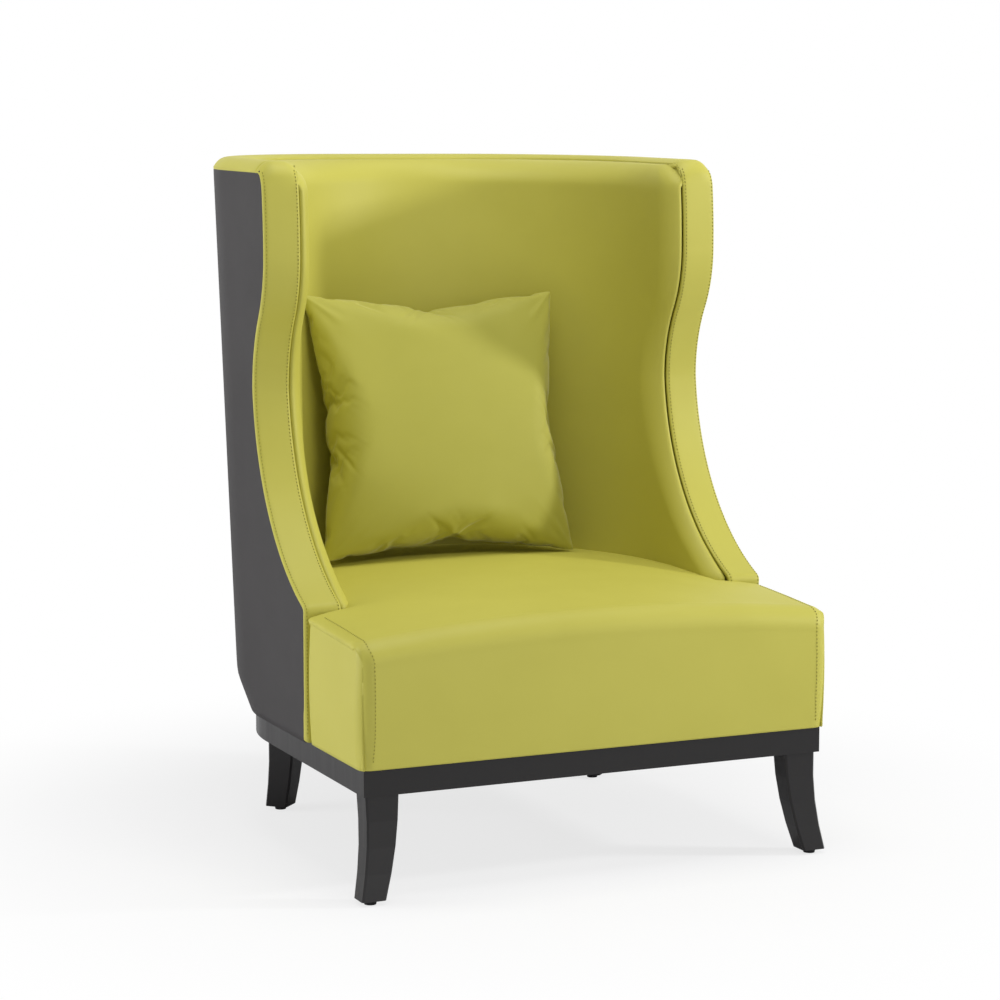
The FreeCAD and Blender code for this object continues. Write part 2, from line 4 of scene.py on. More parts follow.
import bpy
import mathutils
import numpy as np
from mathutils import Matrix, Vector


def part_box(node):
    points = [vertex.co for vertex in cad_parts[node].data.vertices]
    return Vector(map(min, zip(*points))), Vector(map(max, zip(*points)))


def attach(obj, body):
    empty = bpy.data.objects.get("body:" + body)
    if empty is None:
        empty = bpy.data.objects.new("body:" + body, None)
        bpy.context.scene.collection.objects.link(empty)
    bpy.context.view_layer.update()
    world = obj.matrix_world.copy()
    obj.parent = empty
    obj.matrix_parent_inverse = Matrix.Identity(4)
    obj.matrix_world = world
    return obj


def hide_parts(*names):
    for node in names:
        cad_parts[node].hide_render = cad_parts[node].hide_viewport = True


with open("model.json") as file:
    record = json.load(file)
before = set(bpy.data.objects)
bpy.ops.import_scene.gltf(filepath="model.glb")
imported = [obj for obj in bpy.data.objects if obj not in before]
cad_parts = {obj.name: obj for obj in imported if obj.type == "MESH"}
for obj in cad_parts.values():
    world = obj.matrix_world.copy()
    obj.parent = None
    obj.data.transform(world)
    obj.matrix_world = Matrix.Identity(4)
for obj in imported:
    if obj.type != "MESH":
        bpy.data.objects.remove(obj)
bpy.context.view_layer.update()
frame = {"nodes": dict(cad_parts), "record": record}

# The acoustic high back lounge chair. Metres, +Z up, the sitter faces -Y.


# Helpers for meshes

def grid_quads(rows, columns):
    """Corner numbers of the quads between the points of a grid."""
    index = np.arange(rows * columns).reshape(rows, columns)
    return np.stack([index[:-1, :-1], index[1:, :-1], index[1:, 1:], index[:-1, 1:]], axis=-1).reshape(-1, 4)


def new_piece(name, points, faces, smooth=True):
    """A piece made of points and faces, placed in the scene."""
    mesh = bpy.data.meshes.new(name)
    mesh.from_pydata(points.reshape(-1, 3).tolist(), [], faces)
    if smooth:
        mesh.polygons.foreach_set("use_smooth", np.ones(len(mesh.polygons), bool))
    piece = bpy.data.objects.new(name, mesh)
    bpy.context.scene.collection.objects.link(piece)
    return piece


def grid_mesh(name, points):
    """A surface from an array of points in rows and columns, with its rows and columns as UVs from 0 to 1."""
    rows, columns = points.shape[:2]
    quads = grid_quads(rows, columns)
    piece = new_piece(name, points, quads.tolist())
    u, v = np.meshgrid(np.linspace(0, 1, rows), np.linspace(0, 1, columns), indexing="ij")
    at_corner = np.stack([u, v], axis=-1).reshape(-1, 2)[quads.reshape(-1)]
    piece.data.uv_layers.new(name="UVMap").data.foreach_set("uv", at_corner.reshape(-1))
    return piece


def arc(start, middle, end, count):
    """Points at even angles along the circle through three points of a plane."""
    a, b, c = [np.array(p, float) for p in (start, middle, end)]
    sides = np.array([b - a, c - a])
    centre = a + np.linalg.solve(sides, 0.5 * (sides ** 2).sum(1))
    first = math.atan2(*(a - centre)[::-1])
    half = (math.atan2(*(b - centre)[::-1]) - first + math.pi) % (2 * math.pi) - math.pi
    last = (math.atan2(*(c - centre)[::-1]) - first) % (2 * math.pi)
    turn = last if half > 0 else last - 2 * math.pi
    angle = first + np.linspace(0, turn, count)
    return centre + np.linalg.norm(a - centre) * np.stack([np.cos(angle), np.sin(angle)], axis=-1)


def way_along(path):
    """The distance along a path of points at each of them, from 0."""
    return np.concatenate([[0], np.cumsum(np.linalg.norm(np.diff(path, axis=0), axis=1))])


def even(path, count):
    """A path of points spread again at even distances."""
    far = way_along(path)
    places = np.linspace(0, far[-1], count)
    return np.stack([np.interp(places, far, path[:, k]) for k in range(path.shape[1])], axis=-1)


def smoothstep(low, high, value):
    """Rises from 0 at low to 1 at high, level at both ends."""
    t = np.clip((value - low) / (high - low), 0, 1)
    return t * t * (3 - 2 * t)


# Sizes shared with the solids

half_width = 0.420
corner_radius = 0.316
back_y = 0.472
chair_height = 1.161
base_z = 0.215
border_width = 0.062
corner_top_z = 1.152
corner_low_z = 1.120
corner_round = 0.032
corner_y = -0.016
crest_rise = 0.009
blend_reach = 0.004
cover_thickness = 0.002
side_start = half_width - corner_radius + corner_radius * math.pi / 2


def rear(z):
    """How far back the wall reaches at height z: the lowest of three slopes, blended where they meet."""
    slopes = np.stack([
        back_y - 0.11 * (chair_height - z),
        back_y - 0.118 + 0.42 * (z - base_z),
        back_y - 0.170 + 1.4 * (z - base_z),
    ])
    return -blend_reach * np.log(np.exp(-slopes / blend_reach).sum(0))


def wall(s, z, depth=0.0):
    """A point of the wall: s is the way round its plan from the back's middle, along a straight back, a quarter
    circle and a straight side, z the height, and depth how far it lies inside the outer face."""
    far = np.abs(s)
    turn = np.clip((far - half_width + corner_radius) / corner_radius, 0, math.pi / 2)
    radius = corner_radius - depth
    x = np.minimum(far, half_width - corner_radius) + radius * np.sin(turn)
    y = rear(z) - corner_radius + radius * np.cos(turn) - np.maximum(far - side_start, 0)
    return np.stack(np.broadcast_arrays(np.sign(s) * x, y, z), axis=-1)


def way_round(y, z):
    """The way round the plan at which the straight side reaches y, at height z."""
    return side_start + rear(z) - corner_radius - y


wing_edge = np.concatenate([
    [(-0.231, base_z)],
    arc((-0.231, 0.424), (-0.2295, 0.4355), (-0.222, 0.441), 6),
    arc((-0.222, 0.441), (-0.074, 0.560), (0.007, 0.768), 40)[1:],
    arc((0.007, 0.768), (-0.002, 0.835), (-0.026, 0.890), 14)[1:],
    arc((-0.026, 0.890), (-0.048, 0.942), (-0.055, 1.000), 14)[1:],
    arc((-0.055, 1.000), (-0.0535, 1.060), (-0.048, 1.120), 14)[1:],
])


def wing_y(z):
    """Where the wing's front edge lies at height z, round its top corner too."""
    corner = corner_y - np.sqrt(corner_round ** 2 - np.clip(z - corner_low_z, 0, 0.0318) ** 2)
    return np.where(z > corner_low_z, corner, np.interp(z, wing_edge[:, 1], wing_edge[:, 0]))


def crest_z(y):
    """Height of the wall's top: it falls a little towards the front."""
    return corner_top_z + crest_rise * np.clip((y - corner_y) / 0.488, 0, 1)


# Wing borders and top band

wing_path = even(wing_edge, 220)
corner_path = arc((-0.048, 1.120), (-0.0386, 1.1426), (-0.016, 1.152), 14)[1:]
wing_path = np.concatenate([wing_path, corner_path])
wing_rim = np.stack([way_round(wing_path[:, 0], wing_path[:, 1]), wing_path[:, 1]], axis=-1)
top_s = np.linspace(wing_rim[-1, 0], -wing_rim[-1, 0], 260)
top_rim = np.stack([top_s, crest_z(wall(top_s, np.full(260, 1.15))[:, 1])], axis=-1)

# Across a strip: the shares of its width, closer at the edges, with a tucked column beyond each edge
dense = 0.5 - 0.5 * np.cos(np.linspace(0, math.pi, 25))
strip_shape = np.concatenate([[0.0], dense, [1.0]])[None, :]
strip_place = np.concatenate([[0.025], dense, [0.988]])[None, :]
strip_tuck = 0.010 * np.concatenate([[1.0], np.zeros(25), [1.0]])[None, :]


def rim_strip(rim, top_share, side, end_groove):
    """The border's skin: along the rim, and across it from the outer cover's edge to the lining's seam.
    Its height over the rim is a soft crown that drops steeply at both seams, and more on the outside along the top.
    Both free edges are tucked in under the pieces beside them."""
    along = np.gradient(rim, axis=0)
    along /= np.linalg.norm(along, axis=1)[:, None]
    ahead = np.stack([along[:, 1], -along[:, 0]], axis=-1) * side
    outer_half = strip_shape < 0.5
    fold = np.abs(2 * strip_shape - 1)
    wing_height = 0.004 * strip_shape - np.where(outer_half, 0.004, 0.0022) * fold ** 14
    top_height = np.where(outer_half, -0.0175, -0.0065) * fold ** 3
    height = wing_height + (top_height - wing_height) * top_share[:, None] - strip_tuck
    far = way_along(rim)
    for end in end_groove:
        height = height - 0.0014 * np.exp(-((far - far[end]) / 0.002) ** 2)[:, None]
    s = rim[:, :1] + ahead[:, :1] * height
    z = rim[:, 1:] + ahead[:, 1:] * height
    return wall(s, z, border_width * strip_place)


wing_share = smoothstep(1.106, 1.152, wing_path[:, 1])
left_rim = wing_rim * (-1, 1)
right_border_skin = rim_strip(wing_rim, wing_share, 1, [-1])
left_border_skin = rim_strip(left_rim, wing_share, -1, [-1])
top_skin = rim_strip(top_rim, np.ones(260), 1, [0, -1])


# Outer cover

def outer_cover_skin():
    """The wall's outer face, from the plinth to the top band and from wing edge to wing edge. It turns in at its
    rim, and draws back under the border round the top corner."""
    across = np.linspace(-1, 1, 221)[:, None]
    across = np.sign(across) * (1 - (1 - np.abs(across)) ** 1.4)
    up = 1 - (1 - np.linspace(0, 1, 121)[None, :]) ** 1.3
    flat = way_round(-0.045, 1.13) * across
    top = crest_z(wall(flat, 1.13)[..., 1]) - 0.0165
    z = base_z + (top - base_z) * up
    lean = (wing_y(z + 0.002) - wing_y(z - 0.002)) / 0.004
    setback = 0.0035 * np.clip(np.sqrt(1 + lean ** 2), 1, 3) + 0.011 * smoothstep(1.106, 1.140, z)
    s = way_round(wing_y(z) + setback, z) * across
    to_front = (1 - np.abs(across)) * 0.8
    to_top = top - z
    rim = np.exp(-np.minimum(to_front, to_top) / 0.002)
    return wall(s, z, 0.0022 * rim)


# Lining: half an ellipse in plan that leans back, rolled to the seam at its rim

hollow_half = 0.330
hollow_depth = 0.344
seam_start = 0.055
roll_reach = 0.046
lining_foot_z = 0.405
angles = np.linspace(0, math.pi / 2, 400)
oval = np.stack([hollow_half * np.cos(angles), hollow_depth * np.sin(angles)], axis=-1)
oval_way = way_along(oval)
plan_way = np.concatenate([[-0.6], oval_way])
plan_x = np.concatenate([[hollow_half], oval[:, 0]])
plan_y = np.concatenate([[-0.6], oval[:, 1]])


def hollow_centre(z):
    """Where the lining's sides turn into the ellipse at height z."""
    return back_y - 0.092 - hollow_depth - 0.136 * (chair_height - z)


def lining_skin():
    """The lining in rows of height and columns from one wing edge round the back to the other."""
    near = seam_start * np.linspace(0, 1, 16) ** 1.6
    share = np.concatenate([np.zeros(16), np.linspace(0, 1, 80)[1:]])
    start = np.concatenate([near, np.full(79, near[-1])])
    below = near[-1] + (1.145 - near[-1] - lining_foot_z) * np.linspace(0, 1, 90)[1:]
    from_top = np.concatenate([near, below])
    guess = (start + share * (oval_way[-1] + 0.03)) / (oval_way[-1] + 0.085)
    under_band = wall(way_round(-0.052, 1.14) * (1 - guess), 1.14, border_width)
    top_z = (crest_z(under_band[:, 1]) - 0.0068)[:, None]
    z = top_z - (from_top / from_top[-1])[None, :] * (top_z - lining_foot_z)
    foot = 1 - smoothstep(0.425, 0.475, z)
    begin_y = wing_y(z) - 0.003 + 0.010 * smoothstep(1.110, 1.1452, z) + 0.007 * foot
    begin = np.interp(begin_y - hollow_centre(z), plan_y, plan_way)
    whole = oval_way[-1] - begin - near[-1]
    way = begin + start[:, None] + share[:, None] * whole
    hollow = np.stack([
        np.interp(way, plan_way, plan_x),
        hollow_centre(z) + np.interp(way, plan_way, plan_y),
        z,
    ], axis=-1)
    part = (way - begin) / (oval_way[-1] - begin)
    seam = wall(way_round(begin_y, z) * (1 - part), z, border_width + 0 * z)
    to_seam = np.maximum(roll_reach - (way - begin), 0)
    to_band = np.maximum(roll_reach - (top_z - z), 0)
    over = np.clip((roll_reach - np.hypot(to_seam, to_band)) / roll_reach, 0, 1)
    roll = 1 - np.sqrt(1 - (1 - over) ** 2)
    half = hollow + (seam - hollow) * roll[..., None]
    sink = 0.0014 * np.exp(-(np.minimum(way - begin, top_z - z) / 0.0014) ** 2)
    under_top = smoothstep(0.0, 0.05, top_z - z)
    half[..., 1] += sink * (roll > 0.5) * under_top
    half[..., 2] -= sink * (1 - under_top)
    half[0, :, 1] += 0.007
    half[:, 0, 2] -= 0.007
    other = half[::-1][1:] * (-1, 1, 1)
    return np.concatenate([half, other])


# Seat

seat_profile = even(np.concatenate([
    arc((-0.4656, base_z), (-0.472, 0.325), (-0.4704, 0.396), 24),
    arc((-0.4704, 0.396), (-0.4585, 0.429), (-0.4264, 0.440), 16)[1:],
    arc((-0.4264, 0.440), (-0.080, 0.456), (0.2850, 0.446), 60)[1:],
]), 300)
seat_half = 0.4183
neck_half = 0.345
front_corner = (0.3923, -0.446)
front_corner_radius = 0.026
ear_corner = (0.4003, -0.2505)
ear_corner_radius = 0.018
ear_rear_y = -0.2325
ear_stitch_y = -0.262
seat_top = seat_profile[seat_profile[:, 1] > 0.38]


def seat_fall(x):
    """How much lower the seat's crown lies at x, as a share of its height over the plinth."""
    return 1 - 0.028 * (x / seat_half) ** 2 / 0.241


def seat_panel():
    """The waterfall panel: its profile carried across, lower towards the sides, narrow between the wings, with both
    side edges tucked under the side panels."""
    y, z = seat_profile.T[:, :, None]
    top = smoothstep(-0.462, -0.440, y)
    ahead = np.clip(-0.4536 - y, 0, 0.0168)
    front_limit = front_corner[0] + np.sqrt(front_corner_radius ** 2 - ahead ** 2)
    oval_limit = 0.342 * np.sqrt(np.clip(1 - ((y + 0.061) / 0.356) ** 2, 0.0004, 1))
    neck = np.minimum(neck_half, np.where(y > -0.061, oval_limit, neck_half))
    round_ear = np.sqrt(1 - np.clip((y - ear_corner[1]) / ear_corner_radius, 0, 1) ** 2)
    limit = neck + (front_limit - neck) * round_ear
    spread = np.linspace(-1, 1, 141)[None, :]
    spread = np.sign(spread) * (1 - (1 - np.abs(spread)) ** 1.5)
    x = limit * spread
    inward = limit - np.abs(x)
    z = base_z + (z - base_z) * seat_fall(x)
    z = z - top * (0.0055 * np.exp(-inward / 0.007) + 0.0015 * np.exp(-inward / 0.0012))
    bend = np.clip(np.abs(x) - front_corner[0], 0, 0.0184)
    y = y + (front_corner_radius - np.sqrt(front_corner_radius ** 2 - bend ** 2))
    y = y + 0.0015 * np.exp(-inward / 0.0012) * (1 - top)
    skin = np.stack(np.broadcast_arrays(x, y, z), axis=-1)
    tuck = np.concatenate([-0.003 * np.sign(x[:, :1]) + 0 * y[:, :1], 0.006 * (1 - top), -0.007 * top], axis=1)
    skin[:, 0] += tuck
    skin[:, -1] += tuck * (-1, 1, 1)
    return skin


def seat_side(side):
    """A side panel: round the front corner, along the side, round the ear's rear, from plinth to seam."""
    corner = np.linspace(math.pi / 4.6, math.pi / 2, 9)
    front = front_corner + front_corner_radius * np.stack([np.sin(corner), -np.cos(corner)], axis=-1)
    back = np.linspace(0, math.pi / 2, 9)
    turned = ear_corner + ear_corner_radius * np.stack([np.cos(back), np.sin(back)], axis=-1)
    plan = even(np.concatenate([front, turned, [(0.33, ear_rear_y)]]), 120)
    x, y = plan.T[:, :, None]
    top = base_z + (np.interp(y - 0.0076, seat_top[:, 0], seat_top[:, 1]) - base_z) * seat_fall(x)
    top = top - 0.0065 * smoothstep(-0.462, -0.440, y - 0.0076) + 0.001
    up = 1 - (1 - np.linspace(0, 1, 60)[None, :]) ** 1.5
    z = base_z + (top - base_z) * up
    swell = 0.004 * np.sin(math.pi * up) ** 0.8 - 0.0015 * np.exp(-(top - z) / 0.002) - 0.003
    first = np.arange(120)[:, None] / 119
    swell = swell - 0.001 * np.exp(-first / 0.006)
    x = x + swell * smoothstep(-0.475, -0.452, y)
    skin = np.stack(np.broadcast_arrays(side * x, y, z), axis=-1)
    skin[0, :, 1] += 0.005
    skin[:, -1] += np.stack([-0.004 * side + 0 * first[:, 0], -0.004 * smoothstep(-0.25, -0.235, y[:, 0]),
                             -0.001 + 0 * first[:, 0]], axis=-1)
    return skin


# Pillow

pillow_low, pillow_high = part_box("pillow_cover")
pillow_middle = np.array(pillow_low + pillow_high) / 2
pillow_size = np.array([0.478, 0.142, 0.478])
flat_half = 0.247
fill_steps = 22


def flat_pillow(count=97):
    """Two square layers sewn at their edges, a little apart in the middle, ready to be filled."""
    a, b = np.meshgrid(np.linspace(-1, 1, count), np.linspace(-1, 1, count), indexing="ij")
    lift = 0.022 * ((1 - a ** 2) * (1 - b ** 2)) ** 0.5
    layers = np.stack([np.stack([flat_half * a, side * lift, flat_half * b], axis=-1) for side in (-1, 1)])
    quads = grid_quads(count, count)
    faces = np.concatenate([quads, quads[:, ::-1] + count * count])
    piece = new_piece("pillow", layers, faces.tolist(), smooth=False)
    bpy.context.view_layer.objects.active = piece
    weld = piece.modifiers.new("weld", "WELD")
    weld.merge_threshold = 0.0002
    return piece


def applied(piece):
    """The piece's mesh with its modifiers worked in."""
    depsgraph = bpy.context.evaluated_depsgraph_get()
    mesh = bpy.data.meshes.new_from_object(piece.evaluated_get(depsgraph))
    piece.modifiers.clear()
    piece.data = mesh
    return mesh


def fill_pillow(piece):
    """Blows the sewn layers up like cloth over a filling, so that the edges pucker, then stills them."""
    cloth = piece.modifiers.new("filling", "CLOTH")
    settings = cloth.settings
    settings.quality = 6
    settings.mass = 0.25
    settings.tension_stiffness = 25
    settings.compression_stiffness = 12
    settings.shear_stiffness = 8
    settings.bending_stiffness = 0.6
    settings.use_pressure = True
    settings.uniform_pressure_force = 4.5
    settings.effector_weights.gravity = 0
    cloth.point_cache.frame_start = 1
    cloth.point_cache.frame_end = fill_steps
    for step in range(1, fill_steps + 1):
        bpy.context.scene.frame_set(step)
    applied(piece)
    bpy.context.scene.frame_set(1)


def points_of(mesh):
    """The mesh's points as an array."""
    flat = np.zeros(len(mesh.vertices) * 3, np.float32)
    mesh.vertices.foreach_get("co", flat)
    return flat.reshape(-1, 3).astype(float)


def lay_pillow(piece):
    """Brings the filled pillow to its size and leans it where the solid pillow lies."""
    points = points_of(piece.data)
    low, high = points.min(0), points.max(0)
    points -= (low + high) / 2
    points *= pillow_size / (high - low)
    width, height = points[:, 0] / 0.239, points[:, 2] / 0.239
    points[:, 0] *= 1 + 0.075 * np.clip(1 - height ** 2, 0, 1) * np.abs(width)
    points[:, 2] *= 1 + 0.075 * np.clip(1 - width ** 2, 0, 1) * np.abs(height)
    points[:, 1] *= 1 - 0.10 * height
    roll, tilt, yaw = np.radians([0.4, -14.0, -1.6])
    about_y = np.array([[math.cos(roll), 0, math.sin(roll)], [0, 1, 0], [-math.sin(roll), 0, math.cos(roll)]])
    about_x = np.array([[1, 0, 0], [0, math.cos(tilt), -math.sin(tilt)], [0, math.sin(tilt), math.cos(tilt)]])
    about_z = np.array([[math.cos(yaw), -math.sin(yaw), 0], [math.sin(yaw), math.cos(yaw), 0], [0, 0, 1]])
    points = points @ (about_z @ about_x @ about_y).T
    low, high = points.min(0), points.max(0)
    points += pillow_middle - (low + high) / 2
    piece.data.vertices.foreach_set("co", points.reshape(-1))
    piece.data.polygons.foreach_set("use_smooth", np.ones(len(piece.data.polygons), bool))
    piece.data.update()


# Stitches

def stitch_row(name, path, outward, pitch=0.0062, length=0.0034, thick=0.0009):
    """Short rounded threads along a path of points, each a slim six-sided bead that dips in at its ends."""
    far = way_along(path)
    middles = np.arange(pitch, far[-1] - pitch, pitch)
    along = np.linspace(-0.5, 0.5, 5)
    at = middles[:, None] + along[None, :] * length
    centre = np.stack([np.interp(at, far, path[:, k]) for k in range(3)], axis=-1)
    out = np.stack([np.interp(at, far, outward[:, k]) for k in range(3)], axis=-1)
    ahead = centre[:, -1:] - centre[:, :1]
    ahead = ahead / np.linalg.norm(ahead, axis=-1, keepdims=True)
    beside = np.cross(ahead, out)
    bulge = 1 - (2 * along) ** 4
    centre = centre + out * (0.0004 * (bulge + 0.3))[None, :, None]
    turn = np.linspace(0, 2 * math.pi, 6, endpoint=False)
    round_ = (np.cos(turn)[:, None] * out[..., None, :] + np.sin(turn)[:, None] * beside[..., None, :])
    points = centre[..., None, :] + round_ * (thick * (0.25 + 0.75 * bulge))[None, :, None, None]
    beads = len(middles)
    index = np.arange(beads * 30).reshape(beads, 5, 6)
    after = np.roll(index, -1, axis=2)
    quads = np.stack([index[:, :-1], after[:, :-1], after[:, 1:], index[:, 1:]], axis=-1).reshape(-1, 4)
    caps = np.concatenate([index[:, 0, ::-1], index[:, -1]])
    return new_piece(name, points, quads.tolist() + caps.tolist())


def surface_normals(skin):
    """Unit normals of a grid of points."""
    normal = np.cross(np.gradient(skin, axis=0), np.gradient(skin, axis=1))
    return normal / np.maximum(np.linalg.norm(normal, axis=-1, keepdims=True), 1e-9)


def thicken(piece, thickness=cover_thickness):
    """Gives a skin its own thickness, inwards."""
    wall_ = piece.modifiers.new("thickness", "SOLIDIFY")
    wall_.thickness = thickness
    wall_.offset = -1
    return piece


# Materials

class Value:
    """A number that runs through the nodes; sums and products of it add Math nodes."""

    def __init__(self, tree, socket):
        self.tree = tree
        self.socket = socket

    def _math(self, operation, first, second):
        node = self.tree.nodes.new("ShaderNodeMath")
        node.operation = operation
        for socket, value in zip(node.inputs, (first, second)):
            if isinstance(value, Value):
                self.tree.links.new(value.socket, socket)
            else:
                socket.default_value = value
        return Value(self.tree, node.outputs[0])

    def __add__(self, other):
        return self._math("ADD", self, other)

    def __radd__(self, other):
        return self._math("ADD", other, self)

    def __sub__(self, other):
        return self._math("SUBTRACT", self, other)

    def __rsub__(self, other):
        return self._math("SUBTRACT", other, self)

    def __mul__(self, other):
        return self._math("MULTIPLY", self, other)

    def at_least(self, other):
        return self._math("MAXIMUM", self, other)


class Finish:
    """One material: its shader, and a method that adds a node with its settings and its inputs."""

    def __init__(self, name, **constants):
        self.material = bpy.data.materials.new(name)
        self.material.use_nodes = True
        self.tree = self.material.node_tree
        self.shader = self.tree.nodes["Principled BSDF"]
        for socket, value in constants.items():
            self.shader.inputs[socket.replace("_", " ")].default_value = value
        self.place = self.node("ShaderNodeTexCoord").outputs["Object"]

    def node(self, kind, settings=None, **sockets):
        made = self.tree.nodes.new(kind)
        for key, value in (settings or {}).items():
            setattr(made, key, value)
        for key, value in sockets.items():
            self.feed(made.inputs[key.replace("_", " ")], value)
        return made

    def feed(self, socket, value):
        if isinstance(value, Value):
            value = value.socket
        if isinstance(value, bpy.types.NodeSocket):
            self.tree.links.new(value, socket)
        else:
            socket.default_value = value

    def noise(self, scale, detail=4.0, place=None):
        made = self.node("ShaderNodeTexNoise", Vector=place or self.place, Scale=scale, Detail=detail)
        return Value(self.tree, made.outputs[0])

    def cells(self, scale, feature="F1"):
        made = self.node("ShaderNodeTexVoronoi", {"feature": feature}, Vector=self.place, Scale=scale)
        return Value(self.tree, made.outputs[0])

    def stretched(self, size):
        made = self.node("ShaderNodeMapping", Vector=self.place)
        made.inputs["Scale"].default_value = size
        return made.outputs[0]

    def wave(self, scale, axis, place=None, distortion=0.0):
        settings = {"wave_type": "BANDS", "bands_direction": axis}
        made = self.node("ShaderNodeTexWave", settings, Vector=place or self.place, Scale=scale,
                         Distortion=distortion)
        return Value(self.tree, made.outputs["Fac"])

    def tint(self, first, second, share):
        made = self.node("ShaderNodeMix", {"data_type": "RGBA"})
        self.feed(made.inputs[0], share)
        made.inputs[6].default_value = (*first, 1)
        made.inputs[7].default_value = (*second, 1)
        self.tree.links.new(made.outputs[2], self.shader.inputs["Base Color"])

    def rough(self, value):
        self.feed(self.shader.inputs["Roughness"], value)

    def bump(self, height, distance, strength=1.0):
        made = self.node("ShaderNodeBump", Strength=strength, Distance=distance, Height=height)
        self.tree.links.new(made.outputs[0], self.shader.inputs["Normal"])
        return self.material


def linear(red, green, blue):
    """A screen colour from 0 to 255 as the light it stands for."""
    return tuple(((c / 255 + 0.055) / 1.055) ** 2.4 for c in (red, green, blue))


def faux_leather(name, light, dark, rough):
    """Smooth coated cover: fine pores and creases, faint mottling, a satin skin."""
    made = Finish(name, Specular_IOR_Level=0.40)
    mottle = made.noise(9.0, 5.0)
    pores = made.cells(1500.0)
    creases = made.cells(520.0, "DISTANCE_TO_EDGE")
    made.tint(light, dark, (mottle - 0.35) * 1.1 * 0.6 + (0.5 - pores) * 0.12)
    made.rough(rough + (mottle - 0.5) * 0.10 - pores * 0.05)
    return made.bump(creases * 0.6 + pores * 0.5 + made.noise(60.0) * 0.5, 0.00022, 0.35)


def pillow_cloth(name, light, dark):
    """Close satin weave: crossing threads, soft sheen and a little cloudiness."""
    made = Finish(name, Specular_IOR_Level=0.30, Sheen_Weight=0.25, Sheen_Roughness=0.4)
    cloud = made.noise(6.0, 4.0)
    warp = made.wave(420.0, "X", distortion=0.4)
    weft = made.wave(420.0, "Z", distortion=0.4)
    made.tint(light, dark, (cloud - 0.3) * 0.7 + (0.5 - warp * weft) * 0.15)
    made.rough(0.56 + (cloud - 0.5) * 0.1)
    return made.bump(warp * 0.5 + weft * 0.5 + made.noise(700.0) * 0.4, 0.00018, 0.5)


def lacquer(name):
    """Black satin lacquer over close grain: pores show faintly, edges catch the light."""
    made = Finish(name, Specular_IOR_Level=0.34, Coat_Weight=0.10, Coat_Roughness=0.2)
    grain = made.noise(70.0, 6.0, made.stretched((1.0, 1.0, 0.06)))
    made.tint(linear(18, 15, 16), linear(11, 9, 10), grain)
    made.rough(0.36 + (grain - 0.5) * 0.16)
    return made.bump(grain + made.noise(900.0) * 0.3, 0.0001, 0.4)


def timber(name, light, dark, stretch, rings=14.0):
    """Bare wood: long grain, darker late rings and fine pores."""
    made = Finish(name, Specular_IOR_Level=0.35)
    place = made.stretched(stretch)
    ring = made.wave(rings, "Y", place, 6.0)
    pore = made.noise(160.0, 6.0, place)
    made.tint(light, dark, ring * 0.6 + pore * 0.4)
    made.rough(0.55 + pore * 0.2)
    return made.bump(pore, 0.0002, 0.4)


def soft_filling(name, light, dark, scale, depth):
    """Foam or wadding: open cells or loose fibres."""
    made = Finish(name, Specular_IOR_Level=0.15)
    cell = made.cells(scale)
    made.tint(light, dark, cell * 0.9)
    made.rough(0.9 - cell * 0.1)
    return made.bump(cell + made.noise(scale * 0.4) * 0.5, depth, 0.6)


def plated_steel(name):
    """Zinc plate: dull silver with a faint blue cloud."""
    made = Finish(name, Metallic=1.0)
    cloud = made.noise(240.0)
    made.tint(linear(190, 192, 196), linear(150, 152, 160), cloud)
    made.rough(0.30 + cloud * 0.2)
    return made.bump(cloud, 0.00005, 0.3)


def moulded_pad(name):
    """Black nylon with a fine moulded grain."""
    made = Finish(name, Specular_IOR_Level=0.4)
    grain = made.noise(1400.0)
    made.tint(linear(34, 33, 35), linear(24, 23, 25), grain)
    made.rough(0.5 + grain * 0.15)
    return made.bump(grain, 0.00006, 0.5)


def strap_weave(name, light, dark, scale):
    """Woven band or non-woven cloth: crossing ribs."""
    made = Finish(name, Specular_IOR_Level=0.2)
    ribs = made.wave(scale, "X") * made.wave(scale, "Y")
    made.tint(light, dark, ribs)
    made.rough(0.8 + ribs * 0.1)
    return made.bump(ribs, 0.0003, 0.6)


lime = faux_leather("lime_leather", linear(197, 191, 82), linear(186, 180, 72), 0.58)
charcoal = faux_leather("charcoal_leather", linear(36, 33, 34), linear(29, 26, 27), 0.62)
cloth = pillow_cloth("lime_cloth", linear(182, 178, 76), linear(166, 163, 60))
black_lacquer = lacquer("black_lacquer")
# The thread is darker than the cover. Part of that is its own tone, and part is painted shade standing in for the
# sunken line the stitches lie in.
thread_darkened_for_shade = pillow_cloth("thread_darkened_for_shade", linear(160, 154, 54), linear(146, 140, 46))
materials = {
    "lime_leather": lime,
    "charcoal_leather": charcoal,
    "lime_cloth": cloth,
    "black_lacquer": black_lacquer,
    "hardwood": timber("hardwood", linear(205, 178, 138), linear(180, 146, 104), (1.0, 1.0, 0.2)),
    "moulded_ply": timber("moulded_ply", linear(214, 188, 148), linear(186, 152, 110), (1.0, 1.0, 3.0), 40.0),
    "foam": soft_filling("foam", linear(232, 226, 200), linear(206, 198, 168), 420.0, 0.0008),
    "wadding": soft_filling("wadding", linear(240, 240, 236), linear(220, 220, 216), 180.0, 0.0012),
    "zinc_steel": plated_steel("zinc_steel"),
    "black_pad": moulded_pad("black_pad"),
    "webbing": strap_weave("webbing", linear(60, 58, 60), linear(32, 31, 33), 190.0),
    "black_felt": strap_weave("black_felt", linear(46, 45, 47), linear(30, 30, 32), 420.0),
}
for part in frame["record"]["subparts"]:
    solid = frame["nodes"][part["node"]]
    solid.data.materials.clear()
    solid.data.materials.append(materials[part["material_slot"]])


def dress(piece, body, slot, *nodes, finish=None):
    """Gives a piece its finish, its body and the solids it stands for."""
    piece.data.materials.clear()
    piece.data.materials.append(finish or materials[slot])
    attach(piece, body)
    if nodes:
        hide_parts(*nodes)
    return piece


